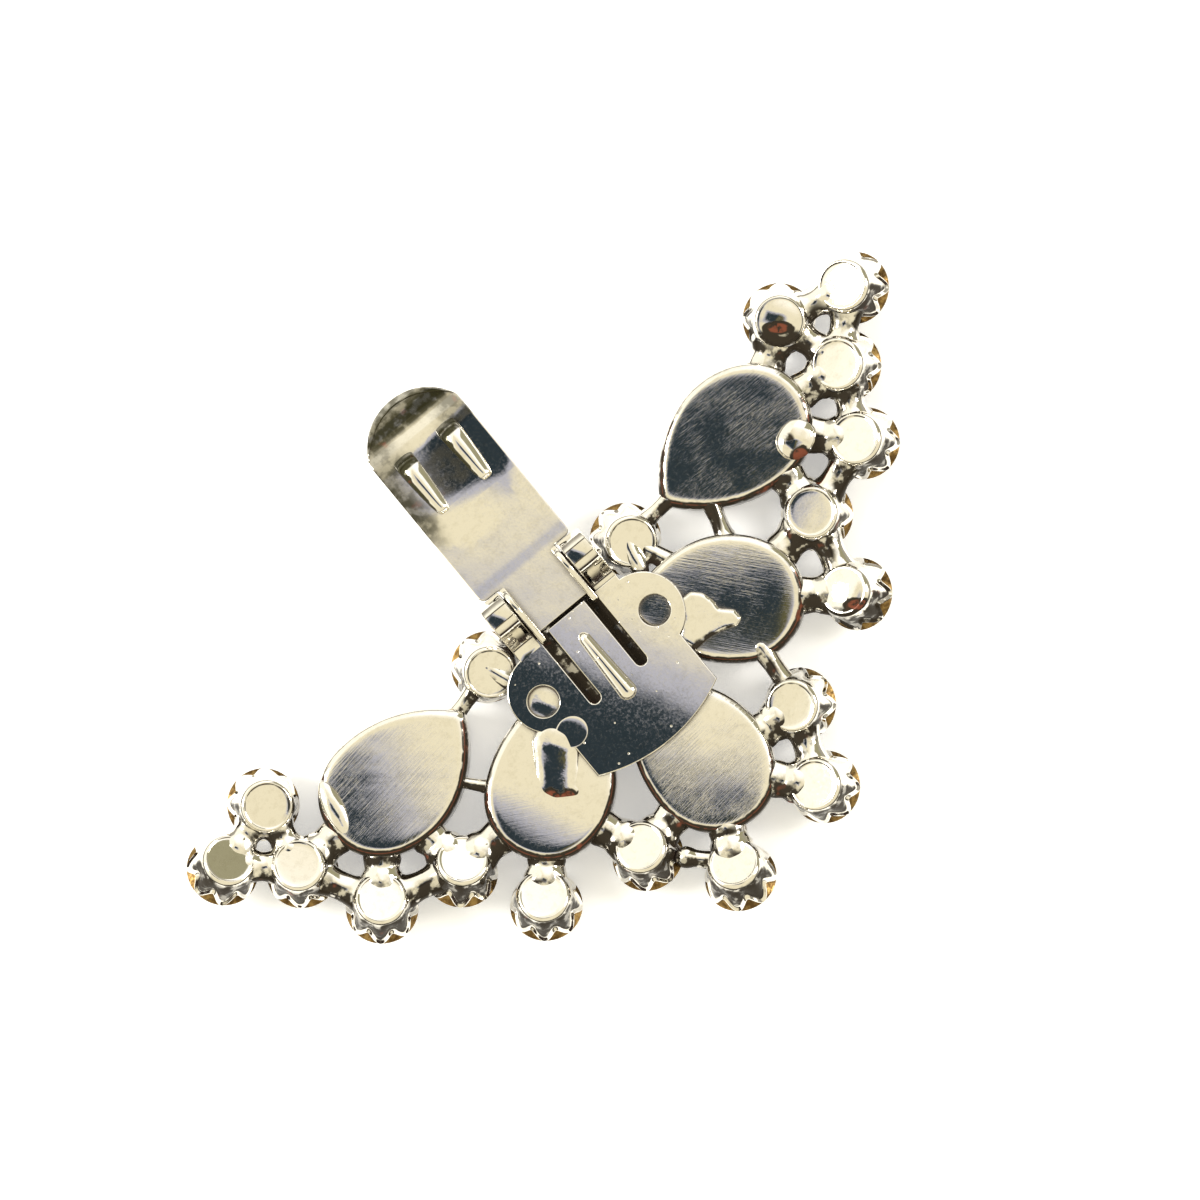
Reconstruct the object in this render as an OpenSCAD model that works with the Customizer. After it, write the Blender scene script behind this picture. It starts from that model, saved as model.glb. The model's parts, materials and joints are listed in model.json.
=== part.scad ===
// Shoe clip lying on its stones, clip side up: eighteen round cups and five
// pear cups soldered into a shallow chevron, with a hinged toothed clip
// soldered across the middle. +Z is the clip side, +Y points from the apex of
// the chevron along the open lever, and Z = 0 is the surface it lies on.

/* [Round cups] */
// Height of a round cup from its rim to its flat back
cup_h = 3.0; // [2.6:0.1:3.4]
// Radius of the flat back of a round cup
cup_back_r = 1.72; // [1.5:0.02:1.9]
// Outer radius of a round cup at its wavy rim
cup_rim_r = 2.85; // [2.7:0.05:3.0]
// Thickness of the cup sheet
cup_sheet = 0.34; // [0.25:0.01:0.4]
// Number of waves round the rim, always even
cup_waves = 8; // [6:2:10]
// Width of the gap between two waves at the rim
wave_gap_w = 1.24; // [0.8:0.04:1.4]
// Depth of the gap between two waves
wave_gap_h = 1.05; // [0.6:0.05:1.1]

/* [Pear cups] */
// Radius of the round end of a pear cup
pear_r = 4.85; // [4.5:0.05:5]
// Distance from the centre of the round end to the point
pear_tip = 8.9; // [8:0.1:9.2]
// Height of a pear cup from its rim to its flat back
pear_h = 3.6; // [3.2:0.1:4]
// Thickness of the pear cup's wall and back
pear_sheet = 0.4; // [0.3:0.05:0.5]
// Bevel round the back edge of a pear cup
pear_bevel = 0.35; // [0.2:0.05:0.45]

/* [Stones] */
// Radius of a round stone at its girdle
stone_r = 2.42; // [2.3:0.01:2.43]
// Height of a round stone above its girdle
stone_crown_h = 0.72; // [0.5:0.02:0.8]
// Depth of a round stone behind its girdle
stone_pavilion_h = 1.9; // [1.5:0.05:2.1]
// Gap between a pear stone's girdle and its cup
pear_stone_gap = 0.06; // [0.04:0.01:0.2]
// Height of a pear stone above its girdle
pear_crown_h = 1.1; // [0.9:0.05:1.1]
// Depth of a pear stone behind its girdle
pear_pavilion_h = 2.3; // [1.8:0.1:2.5]
// Size of a pear stone's table against its girdle
pear_table = 0.62; // [0.5:0.01:0.7]

/* [Solder] */
// Radius of the solder necks between neighbouring cups
neck_r = 0.62; // [0.45:0.01:0.7]
// Largest gap between two cups that solder bridges
neck_reach = 1.12; // [0.9:0.02:1.2]

/* [Clip plate] */
// Thickness of the clip plate
plate_t = 0.5; // [0.4:0.05:0.6]
// Radius of the two round lobes of the plate
lobe_r = 3.15; // [2.9:0.05:3.3]
// Distance of each lobe's centre from the middle line
lobe_x = 4.6; // [4.4:0.1:4.8]
// Radius of the hole in each lobe
plate_hole_r = 1.2; // [0.8:0.1:1.3]
// Half the distance between the two holes
plate_hole_x = 5.4; // [5.2:0.1:5.5]
// Half the width of the plate behind the lobes
plate_half_w = 5.75; // [5.5:0.05:6]
// Length of the plate from the hinge to its bowed edge
plate_l = 15.1; // [14.5:0.1:15.5]
// Width of the slots on either side of the spring tongue
slot_w = 0.95; // [0.85:0.05:1]
// Distance of each slot from the middle line
slot_x = 2.25; // [2.2:0.05:2.3]
// Height of the hinge line above the top of the plate
hinge_h = 1.15; // [1.15:0.05:1.25]
// Outer radius of the rolled knuckles
knuckle_r = 1.6; // [1.5:0.05:1.6]
// Radius of the bore in each knuckle
knuckle_bore_r = 1.0; // [0.95:0.01:1.05]
// Width of each knuckle
knuckle_w = 2.0; // [1.8:0.1:2.1]
// Distance of each knuckle's middle from the middle line
knuckle_x = 3.85; // [3.8:0.05:3.9]

/* [Clip lever] */
// Thickness of the lever sheet
lever_t = 0.5; // [0.4:0.05:0.55]
// Width of the lever
lever_w = 8.55; // [8:0.05:8.8]
// Length of the lever from the hinge to its rounded end
lever_l = 17.8; // [17:0.1:18.5]
// Height of the lever's toothed face below the hinge line when open
lever_drop = 0.85; // [0.8:0.05:0.9]
// Radial clearance of the hinge lugs in the knuckles
lug_gap = 0.05; // [0.03:0.01:0.08]
// Distance of each tooth from the middle line
tooth_x = 2.02; // [1.9:0.02:2.1]
// Width of a tooth at its root
tooth_root_w = 1.5; // [1.3:0.05:1.6]
// Width of a tooth at its tip
tooth_tip_w = 0.85; // [0.7:0.05:1]

/* [Placing] */
// Turn of the clip against the chevron's middle line
clip_turn = -4.0; // [-5:0.5:0]
// Place of the middle of the clip's hinge along X
hinge_x = 0.2; // [-0.3:0.01:0.3]
// Place of the middle of the clip's hinge along Y
hinge_y = 6.6; // [6.4:0.05:6.8]

/* [Hidden] */
$fn = 48;

// Where the middle of the outline lies, so that the origin is under it
origin_x = 0.43;
origin_y = 1.12;

// A small overlap that makes two joined solids one
bite = 0.05;

// Columns of the round cup table: place of the rim's centre, how far the rim
// leans away from the back, and the height of the back
CUP_X = 0;
CUP_Y = 1;
LEAN_X = 2;
LEAN_Y = 3;
BACK_Z = 4;
CUPS = [
    [32.75, 6.85, 0.70, -0.65, 5.3],
    [27.00, 9.10, 0.15, 0.35, 5.1],
    [28.25, 3.05, 0.55, -0.45, 5.0],
    [25.25, -2.15, 0.40, -0.65, 4.9],
    [18.95, -3.60, 0.30, -0.30, 4.8],
    [17.10, -10.10, 0.70, -0.85, 4.8],
    [8.25, -13.10, 0.65, -0.30, 4.7],
    [5.30, -18.90, 0.50, -0.65, 4.8],
    [-4.00, -19.50, -0.40, -1.15, 4.8],
    [-7.95, -13.50, -0.10, -0.85, 4.7],
    [-16.10, -11.00, -0.50, -0.65, 4.8],
    [-19.10, -4.85, -0.95, -0.60, 4.8],
    [-25.25, -2.65, -0.65, -0.50, 4.9],
    [-27.75, 3.45, -0.35, -0.50, 5.0],
    [-32.05, 7.70, -1.20, -0.05, 5.3],
    [-26.40, 9.25, -0.30, 0.55, 5.1],
    [7.20, 5.05, -0.20, 0.70, 4.5],
    [-7.00, 5.20, 0.10, 0.70, 4.5]
];

// Columns of the pear cup table: centre of the round end and the direction of
// the point, in degrees from +X
PEAR_X = 0;
PEAR_Y = 1;
POINT_AT = 2;
PEARS = [
    [19.75, 4.70, 178],
    [10.45, -4.35, 143],
    [0.15, -12.20, 90],
    [-10.35, -5.25, 37],
    [-19.30, 3.50, 2]
];

// Columns of the solder table: both ends of a run of solder, the height of its
// middle line and its radius
RUN_X1 = 0;
RUN_Y1 = 1;
RUN_X2 = 2;
RUN_Y2 = 3;
RUN_Z = 4;
RUN_R = 5;
SOLDER = [
    [21.4, 2.0, 23.0, 1.2, 4.3, 1.0],
    [-23.1, 3.0, -23.0, 6.0, 4.1, 0.9],
    [6.0, -2.9, 8.5, -4.5, 4.5, 0.9],
    [-7.0, -3.2, -10.4, -4.5, 4.4, 0.85],
    [-10.2, -4.3, -9.7, -6.5, 4.35, 0.7],
    [12.7, -0.3, 13.7, 2.4, 3.4, 0.75],
    [-14.7, 0.6, -13.2, -1.4, 3.4, 0.5],
    [7.2, 5.0, 5.2, 0.4, 3.9, 0.7],
    [-7.0, 5.0, -5.4, 0.8, 3.9, 0.7],
    [7.2, 5.0, 8.6, 0.9, 3.6, 0.6],
    [9.0, 4.9, 12.0, 4.9, 3.5, 0.55],
    [-8.5, 4.6, -11.6, 4.0, 3.5, 0.55],
    [8.4, -12.0, 9.0, -8.0, 3.6, 0.6],
    [-5.9, -15.6, -4.6, -17.2, 3.4, 0.55]
];

pear_rim_z = pear_crown_h - 0.1;
pear_back_z = pear_rim_z + pear_h;
plate_z = pear_back_z - bite;
hinge_z = plate_z + plate_t + hinge_h;
// Radius of the two long arcs that meet at a pear's point
pear_arc_r = (pear_tip * pear_tip + pear_r * pear_r) / (2 * pear_r);
// The lever's foot sweeps past the tongue's free end with this to spare
foot_l = 2.65;
tongue_end = foot_l + 0.4;
cheek_t = 0.47;
cheek_x = 2.72;

function lean_of(cup) = norm([cup[LEAN_X], cup[LEAN_Y]]);
function lean_angle(cup) = asin(lean_of(cup) / cup_h);
function lean_at(cup) = atan2(-cup[LEAN_Y], -cup[LEAN_X]);
function rim_z(cup) = cup[BACK_Z] - cup_h * cos(lean_angle(cup));
// A point on a cup's own axis at height z above its rim
function on_axis(cup, z) = [
    cup[CUP_X] - z * cup[LEAN_X] / cup_h,
    cup[CUP_Y] - z * cup[LEAN_Y] / cup_h,
    rim_z(cup) + z * cos(lean_angle(cup))
];
function plan_gap(a, b, reach) = norm([a[0] - b[0], a[1] - b[1]]) - reach;

// Half the width of a pear outline, moved inwards by d, at distance t from its
// round end's centre
function pear_half_w(t, d) = sqrt(pow(pear_arc_r - d, 2) - t * t) - (pear_arc_r - pear_r);
function pear_point(d) = sqrt(pow(pear_arc_r - d, 2) - pow(pear_arc_r - pear_r, 2));
// Points of that outline from the right of the round end, point towards +Y
function pear_outline(d) = concat(
    [for (i = [0:10]) (pear_r - d) * [cos(-180 + i * 18), sin(-180 + i * 18)]],
    [for (i = [1:6]) let (t = i * pear_point(d) / 7) [pear_half_w(t, d), t]],
    [[0, pear_point(d)]],
    [for (i = [6:-1:1]) let (t = i * pear_point(d) / 7) [-pear_half_w(t, d), t]]
);

module at_cup(cup) {
    translate([cup[CUP_X], cup[CUP_Y], rim_z(cup)])
        rotate([0, lean_angle(cup), lean_at(cup)])
            rotate([0, 0, -lean_at(cup)])
                children();
}

module at_pear(pear, z) {
    translate([pear[PEAR_X], pear[PEAR_Y], z])
        rotate([0, 0, pear[POINT_AT] - 90])
            children();
}

module at_hinge() {
    translate([hinge_x, hinge_y, hinge_z])
        rotate([0, 0, clip_turn])
            children();
}

// A side view given as Y and Z, w wide along X and centred on the middle line
module side_plate(w, points) {
    translate([-w / 2, 0, 0])
        rotate([90, 0, 90])
            linear_extrude(w)
                polygon(points);
}

module cup_body() {
    rotate_extrude()
        polygon([[0, 0], [cup_rim_r, 0], [cup_rim_r - 0.08, 0.55], [cup_rim_r - 0.3, 1.3],
            [cup_back_r + 0.52, 2.2], [cup_back_r + 0.38, cup_h - 0.28],
            [cup_back_r + 0.2, cup_h - 0.07], [cup_back_r, cup_h], [0, cup_h]]);
}

module cup_hollow() {
    rotate_extrude()
        polygon([[0, -0.2], [cup_rim_r - cup_sheet, -0.2], [cup_rim_r - cup_sheet, 0.5],
            [cup_rim_r - 0.3 - cup_sheet, 1.3], [cup_back_r + 0.52 - cup_sheet, 2.2],
            [cup_back_r + 0.3 - cup_sheet, cup_h - cup_sheet], [0, cup_h - cup_sheet]]);
}

module wave_gaps() {
    for (i = [0:cup_waves / 2 - 1])
        rotate([0, 0, (i + 0.5) * 360 / cup_waves])
            side_plate(2 * cup_rim_r + 0.3, [[-wave_gap_w / 2 - 0.06, -0.1],
                [wave_gap_w / 2 + 0.06, -0.1], [wave_gap_w * 0.24, wave_gap_h * 0.75],
                [0, wave_gap_h], [-wave_gap_w * 0.24, wave_gap_h * 0.75]]);
}

// A layer of a pear solid: its outline is moved outwards by d1 at the bottom
// and d2 at the top
module pear_layer(h, d1, d2) {
    intersection() {
        cylinder(h = h, r1 = pear_r + d1, r2 = pear_r + d2);
        translate([-2 * pear_r, -2 * pear_r, 0])
            cube([4 * pear_r, 2 * pear_r, h]);
    }
    intersection() {
        translate([pear_arc_r - pear_r, 0, 0])
            cylinder(h = h, r1 = pear_arc_r + d1, r2 = pear_arc_r + d2, $fn = 160);
        translate([pear_r - pear_arc_r, 0, 0])
            cylinder(h = h, r1 = pear_arc_r + d1, r2 = pear_arc_r + d2, $fn = 160);
        translate([-2 * pear_r, 0, 0])
            cube([4 * pear_r, 2 * pear_tip, h]);
    }
}

module pear_body() {
    pear_layer(pear_h - pear_bevel, 0, 0);
    translate([0, 0, pear_h - pear_bevel])
        pear_layer(pear_bevel, 0, -pear_bevel);
}

module pear_hollow() {
    translate([0, 0, -0.2])
        pear_layer(pear_h - pear_sheet + 0.2, -pear_sheet, -pear_sheet);
}

// A straight run of solder between two points
module neck(a, b, r) {
    run = b - a;
    translate(a)
        rotate([0, acos(run[2] / norm(run)), atan2(run[1], run[0])])
            cylinder(h = norm(run), r = r);
}

// A neck between two points, started and ended inside the two cups' hollows
module neck_between(a, b, inside_a, inside_b, r) {
    along = (b - a) / norm(b - a);
    neck(a + inside_a * along, b - inside_b * along, r);
}

module cup_necks() {
    inside_cup = 1.45;
    inside_pear = pear_r - 0.9;
    for (i = [0:len(CUPS) - 2], j = [i + 1:len(CUPS) - 1])
        if (plan_gap(CUPS[i], CUPS[j], 2 * cup_rim_r) < neck_reach)
            neck_between(on_axis(CUPS[i], 1.75), on_axis(CUPS[j], 1.75), inside_cup, inside_cup,
                neck_r);
    for (cup = CUPS, pear = PEARS)
        if (plan_gap(cup, pear, cup_rim_r + pear_r) < neck_reach)
            neck_between(on_axis(cup, 1.75), [pear[PEAR_X], pear[PEAR_Y], 3.4], inside_cup,
                inside_pear, neck_r + 0.1);
}

// A run of solder with rounded-off ends
module solder_run(a, b, r) {
    run = b - a;
    l = norm(run);
    translate(a)
        rotate([0, 90, atan2(run[1], run[0])])
            rotate_extrude()
                polygon([[0, -0.95 * r], [0.55 * r, -0.8 * r], [0.9 * r, -0.35 * r], [r, 0.1 * r],
                    [r, l - 0.1 * r], [0.9 * r, l + 0.35 * r], [0.55 * r, l + 0.8 * r],
                    [0, l + 0.95 * r]]);
}

module solder_runs() {
    for (run = SOLDER)
        solder_run([run[RUN_X1], run[RUN_Y1], run[RUN_Z]],
            [run[RUN_X2], run[RUN_Y2], run[RUN_Z]], run[RUN_R]);
}

// The plate in the clip's own frame: origin on the hinge line, bottom face at
// z = -hinge_h - plate_t
module plate_blank() {
    bow_r = 13.1;
    for (side = [-1, 1])
        translate([side * lobe_x, -6.5, 0])
            cylinder(h = plate_t, r = lobe_r);
    translate([-lobe_x - 0.25, -7, 0])
        cube([2 * lobe_x + 0.5, 7 - 2.9, plate_t]);
    intersection() {
        translate([-plate_half_w, -plate_l, 0])
            cube([2 * plate_half_w, plate_l - 7.6, plate_t]);
        translate([0, bow_r - plate_l, 0])
            cylinder(h = plate_t, r = bow_r, $fn = 160);
    }
}

module plate_cuts() {
    slot_end = 9.5;
    for (side = [-1, 1]) {
        translate([side * plate_hole_x, -6.83, -1])
            cylinder(h = plate_t + 2, r = plate_hole_r);
        translate([side * slot_x - slot_w / 2, slot_w / 2 - slot_end, -1])
            cube([slot_w, slot_end, plate_t + 2]);
        translate([side * slot_x, slot_w / 2 - slot_end, -1])
            cylinder(h = plate_t + 2, r = slot_w / 2);
    }
    translate([-slot_x, -tongue_end, -1])
        cube([2 * slot_x, tongue_end, plate_t + 2]);
}

module tongue_rib() {
    rib_r = 0.65;
    rib_sink = 0.15;
    translate([0, -10.3, plate_t - rib_sink])
        rotate([-90, 0, 0]) {
            cylinder(h = 5, r = rib_r);
            translate([0, 0, 5])
                cylinder(h = 0.5, r1 = rib_r, r2 = rib_r / 2);
            translate([0, 0, -0.5])
                cylinder(h = 0.5, r1 = rib_r / 2, r2 = rib_r);
        }
}

module knuckles() {
    foot_z = -hinge_h - plate_t;
    for (side = [-1, 1])
        translate([side * knuckle_x, 0, 0]) {
            translate([-knuckle_w / 2, 0, 0])
                rotate([0, 90, 0])
                    cylinder(h = knuckle_w, r = knuckle_r);
            side_plate(knuckle_w, [[-3.4, foot_z], [-1.0, foot_z], [-0.9, 0.4],
                [-1.44, 0.7], [-2.75, foot_z + plate_t], [-3.4, foot_z + plate_t]]);
        }
}

module clip_base() {
    difference() {
        union() {
            translate([0, 0, -hinge_h - plate_t])
                difference() {
                    union() {
                        plate_blank();
                        tongue_rib();
                    }
                    plate_cuts();
                }
            knuckles();
        }
        for (side = [-1, 1])
            translate([side * knuckle_x - knuckle_w / 2 - 0.1, 0, 0])
                rotate([0, 90, 0])
                    cylinder(h = knuckle_w + 0.2, r = knuckle_bore_r);
    }
}

module soldered_frame() {
    color([0.80, 0.78, 0.72]) {
        difference() {
            union() {
                for (cup = CUPS)
                    at_cup(cup)
                        cup_body();
                for (pear = PEARS)
                    at_pear(pear, pear_rim_z)
                        pear_body();
                cup_necks();
                solder_runs();
            }
            for (cup = CUPS)
                at_cup(cup) {
                    cup_hollow();
                    wave_gaps();
                }
            for (pear = PEARS)
                at_pear(pear, pear_rim_z)
                    pear_hollow();
        }
        at_hinge()
            clip_base();
    }
}

module lever_blade() {
    face = -lever_drop;
    back = face - lever_t;
    intersection() {
        side_plate(2 * lever_w, [[-foot_l, back], [8.4, back], [13.9, back + 0.45],
            [lever_l, back - 0.6], [lever_l, face - 0.6], [13.9, face + 0.45], [8.4, face],
            [-foot_l, face]]);
        translate([0, 0, -5])
            union() {
                translate([-cheek_x, -foot_l - 1, 0])
                    cube([2 * cheek_x, foot_l + 3, 10]);
                intersection() {
                    translate([-lever_w / 2, knuckle_r + 0.12, 0])
                        cube([lever_w, lever_l, 10]);
                    translate([0, lever_l - 4.63, 0])
                        union() {
                            cylinder(h = 10, r = 4.63, $fn = 96);
                            translate([-lever_w, -lever_l, 0])
                                cube([2 * lever_w, lever_l, 10]);
                        }
                }
            }
    }
}

module tooth() {
    intersection() {
        side_plate(2, [[13.85, -0.7], [13.8, 0.1], [13.3, 0.55], [12.6, 0.7], [9.2, 0.92],
            [8.8, 0.8], [8.9, 0.4], [12.4, 0.2], [12.95, -0.1], [13.1, -0.7]]);
        translate([0, 0, -2])
            linear_extrude(4)
                polygon([[-tooth_tip_w / 2, 8], [tooth_tip_w / 2, 8],
                    [tooth_root_w / 2, 13], [tooth_root_w / 2, 14.5],
                    [-tooth_root_w / 2, 14.5], [-tooth_root_w / 2, 13]]);
    }
}

module cheek() {
    side_plate(cheek_t, [[-3.6, -1.3], [-3.45, -0.55], [-2.2, 0.1], [-1.15, 1.05],
        [-0.5, 1.3], [0.5, 1.3], [1.15, 1.0], [1.6, 0.1], [1.65, -1.3]]);
}

module clip_lever() {
    color([0.76, 0.75, 0.72])
        at_hinge() {
            difference() {
                lever_blade();
                for (side = [-1, 1])
                    translate([side * tooth_x - tooth_root_w / 2 - 0.1, 8.7, -4])
                        cube([tooth_root_w + 0.2, 4.2, 8]);
            }
            for (side = [-1, 1]) {
                translate([side * tooth_x, 0, 0])
                    tooth();
                translate([side * (cheek_x - cheek_t / 2), 0, 0])
                    cheek();
                translate([side * (cheek_x + knuckle_w) / 2 + side * 1.05, 0, 0])
                    rotate([0, 90, 0])
                        cylinder(h = knuckle_w + 0.2, r = knuckle_bore_r - lug_gap, center = true);
            }
        }
}

// A round brilliant: eight-sided table down, sixteen-sided girdle, point up
module round_stone(i) {
    girdle = [for (k = [0:15]) stone_r * [cos(k * 22.5), sin(k * 22.5)]];
    table_r = 0.58 * stone_r;
    table = [for (k = [0:7]) [table_r * cos(k * 45 + 22.5), table_r * sin(k * 45 + 22.5),
        0.12 - stone_crown_h]];
    points = concat(table, [for (p = girdle) [p[0], p[1], 0.12]],
        [for (p = girdle) [p[0], p[1], 0.26]], [[0, 0, 0.26 + stone_pavilion_h]]);
    faces = concat(
        [[for (k = [0:7]) k]],
        [for (k = [0:7]) [k, 8 + 2 * k, 8 + 2 * k + 1]],
        [for (k = [0:7]) [k, 8 + 2 * k + 1, 8 + (2 * k + 2) % 16]],
        [for (k = [0:7]) [k, 8 + (2 * k + 2) % 16, (k + 1) % 8]],
        [for (k = [0:15]) [8 + k, 24 + (k + 1) % 16, 8 + (k + 1) % 16]],
        [for (k = [0:15]) [8 + k, 24 + k, 24 + (k + 1) % 16]],
        [for (k = [0:15]) [24 + k, 40, 24 + (k + 1) % 16]]
    );
    color([0.86, 0.82, 0.72])
        at_cup(CUPS[i])
            polyhedron(points = points, faces = faces);
}

// A pear brilliant: table down on Z = 0, keel-shaped back up
module pear_stone(i) {
    girdle = pear_outline(pear_sheet + pear_stone_gap);
    n = len(girdle);
    middle = [0, 0.9];
    girdle_z = pear_crown_h;
    table = [for (p = girdle) middle + pear_table * (p - middle)];
    points = concat([for (p = table) [p[0], p[1], 0]],
        [for (p = girdle) [p[0], p[1], girdle_z]],
        [for (p = girdle) [p[0], p[1], girdle_z + 0.15]],
        [[middle[0], middle[1], girdle_z + 0.15 + pear_pavilion_h]]);
    faces = concat(
        [[for (k = [0:n - 1]) k]],
        [for (k = [0:n - 1]) [k, n + (k + 1) % n, (k + 1) % n]],
        [for (k = [0:n - 1]) [k, n + k, n + (k + 1) % n]],
        [for (k = [0:n - 1]) [n + k, 2 * n + (k + 1) % n, n + (k + 1) % n]],
        [for (k = [0:n - 1]) [n + k, 2 * n + k, 2 * n + (k + 1) % n]],
        [for (k = [0:n - 1]) [2 * n + k, 3 * n, 2 * n + (k + 1) % n]]
    );
    color([0.86, 0.82, 0.72])
        at_pear(PEARS[i], 0)
            polyhedron(points = points, faces = faces);
}

module placed() {
    translate([-origin_x, -origin_y, 0])
        children();
}

placed() soldered_frame();
placed() clip_lever();
placed() round_stone(0);  // round_stone_01
placed() round_stone(1);  // round_stone_02
placed() round_stone(2);  // round_stone_03
placed() round_stone(3);  // round_stone_04
placed() round_stone(4);  // round_stone_05
placed() round_stone(5);  // round_stone_06
placed() round_stone(6);  // round_stone_07
placed() round_stone(7);  // round_stone_08
placed() round_stone(8);  // round_stone_09
placed() round_stone(9);  // round_stone_10
placed() round_stone(10);  // round_stone_11
placed() round_stone(11);  // round_stone_12
placed() round_stone(12);  // round_stone_13
placed() round_stone(13);  // round_stone_14
placed() round_stone(14);  // round_stone_15
placed() round_stone(15);  // round_stone_16
placed() round_stone(16);  // round_stone_17
placed() round_stone(17);  // round_stone_18
placed() pear_stone(0);  // pear_stone_1
placed() pear_stone(1);  // pear_stone_2
placed() pear_stone(2);  // pear_stone_3
placed() pear_stone(3);  // pear_stone_4
placed() pear_stone(4);  // pear_stone_5
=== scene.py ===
"""A shoe clip lying on its stones, seen from the clip side, with the lever swung open."""

import json
import math

import bmesh
import bpy
from mathutils import Matrix, Vector


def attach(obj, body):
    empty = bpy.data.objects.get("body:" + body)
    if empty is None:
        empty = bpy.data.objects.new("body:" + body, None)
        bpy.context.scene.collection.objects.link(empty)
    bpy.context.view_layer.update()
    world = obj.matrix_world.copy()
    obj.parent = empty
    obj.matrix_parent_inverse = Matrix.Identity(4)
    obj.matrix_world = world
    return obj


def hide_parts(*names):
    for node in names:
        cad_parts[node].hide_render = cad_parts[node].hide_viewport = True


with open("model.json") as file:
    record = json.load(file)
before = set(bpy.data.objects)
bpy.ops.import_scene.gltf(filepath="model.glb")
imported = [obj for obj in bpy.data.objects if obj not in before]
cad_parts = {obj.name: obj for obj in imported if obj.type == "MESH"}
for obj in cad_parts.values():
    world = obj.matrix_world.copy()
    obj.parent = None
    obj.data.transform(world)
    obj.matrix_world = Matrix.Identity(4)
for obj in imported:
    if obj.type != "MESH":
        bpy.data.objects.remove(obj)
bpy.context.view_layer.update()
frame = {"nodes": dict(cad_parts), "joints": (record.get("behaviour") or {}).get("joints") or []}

# Pieces are modelled in millimetres and brought to metres when they are placed.
MM = 0.001

# Where the middle of the chevron's own drawing lies in the frame, in millimetres
DRAWING_X = -0.43
DRAWING_Y = -1.12

# The photograph's view: what it looks at, its directions and the width it shows
VIEW_MIDDLE = Vector((2.22, 1.69, 4.6))
VIEW_RIGHT = Vector((0.727, -0.686, 0))
VIEW_UP = Vector((0.686, 0.727, 0))
VIEW_LEAN = math.radians(4)
VIEW_WIDTH = 90
VIEW_DISTANCE = 500

ROUND_CUPS = 18
# Round cups: profile rows are the radius and height above the rim under a wave's lobe,
# the same in the gap between two lobes, and how dark the plating is there: tarnishing and
# painted shade on the walls, and painted shade alone in the groove round the back
WAVES = 8
STEPS_A_WAVE = 8
CUP_SHEET = 0.2
CUP_PROFILE = [
    (2.86, 0.00, 2.50, 1.36, 0.0),
    (2.60, 0.25, 2.18, 1.62, 0.1),
    (2.52, 0.48, 2.14, 1.80, 1.0),
    (2.46, 0.95, 2.13, 2.00, 1.0),
    (2.38, 1.50, 2.13, 2.19, 1.0),
    (2.28, 2.05, 2.12, 2.37, 1.0),
    (2.18, 2.45, 2.12, 2.53, 0.9),
    (2.07, 2.72, 2.07, 2.72, 0.45),
    (1.94, 2.90, 1.94, 2.90, 0.1),
    (1.82, 2.98, 1.82, 2.98, 0.0),
    (1.75, 3.00, 1.75, 3.00, 0.0),
    # The groove round the back, darkened with painted shade
    (1.69, 2.965, 1.69, 2.965, 0.9),
    (1.61, 2.935, 1.61, 2.935, 0.0),
]
# The dished back inside the last of those rows: radius and height
CUP_BACK = [(1.1, 2.931), (0.6, 2.927), (0.2, 2.923)]
# Cups whose backs bulge instead of lying flat, and by how many millimetres
DOMED_BACKS = {2: 0.42, 6: 0.42}

# Pear cups: profile rows are size against the outline, height above the rim and
# how dark the plating is there, tarnishing and painted shade on the walls, where more than 2 is
# rusty
PEAR_R = 4.85
PEAR_TIP = 8.9
PEAR_SHEET = 0.38
PEAR_MIDDLE_Y = 1.5
PEAR_PROFILE = [
    (0.985, 0.00, 1.0),
    (1.000, 0.12, 1.0),
    (1.000, 1.30, 1.0),
    (1.000, 2.60, 1.0),
    (0.997, 3.05, 1.0),
    (0.982, 3.30, 1.15),
    (0.950, 3.47, 2.3),
    (0.905, 3.57, 0.2),
    (0.865, 3.60, 0.0),
]
# How each pear back is crowned and bowed from side to side, in millimetres, how far
# it leans to the right and up as the photograph shows it, which way it was brushed
# there, in degrees, and how deeply
PEAR_BACKS = [
    (0.03, 0.00, -1.0, -4.2, 38, 1.4),
    (0.14, -0.10, 0.5, -4.3, -10, 0.9),
    (0.14, -0.14, 1.0, 0.3, 45, 2.0),
    (0.18, 0.00, 0.0, 3.0, 10, 0.2),
    (0.03, 0.16, 0.1, 0.4, 48, 1.0),
]


def object_mode():
    if bpy.context.mode != "OBJECT":
        bpy.ops.object.mode_set(mode="OBJECT")


def select_only(piece):
    object_mode()
    bpy.ops.object.select_all(action="DESELECT")
    piece.select_set(True)
    bpy.context.view_layer.objects.active = piece


def edit(piece, pick_all=False):
    select_only(piece)
    bpy.ops.object.mode_set(mode="EDIT")
    bpy.ops.mesh.select_mode(type="VERT")
    bpy.ops.mesh.select_all(action="SELECT" if pick_all else "DESELECT")


def pick(piece, test):
    """In edit mode, selects the vertices whose place passes the test, and nothing else."""
    mesh = bmesh.from_edit_mesh(piece.data)
    for vertex in mesh.verts:
        vertex.select_set(False)
    for vertex in mesh.verts:
        if test(vertex.co):
            vertex.select_set(True)
    mesh.select_flush(True)
    bmesh.update_edit_mesh(piece.data)


def named(name):
    piece = bpy.context.object
    piece.name = name
    piece.data.name = name
    return piece


def apply_place(piece):
    """Brings an object's place, turn and size into its mesh."""
    select_only(piece)
    bpy.ops.object.transform_apply(location=True, rotation=True, scale=True)


def select_all():
    bpy.ops.mesh.select_all(action="SELECT")


def move(x, y, z):
    """Moves what is selected."""
    bpy.ops.transform.translate(value=(x, y, z))


def resize(x, y, z, centre=(0, 0, 0)):
    """Sizes what is selected about a place."""
    bpy.ops.transform.resize(value=(x, y, z), center_override=centre)


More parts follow.
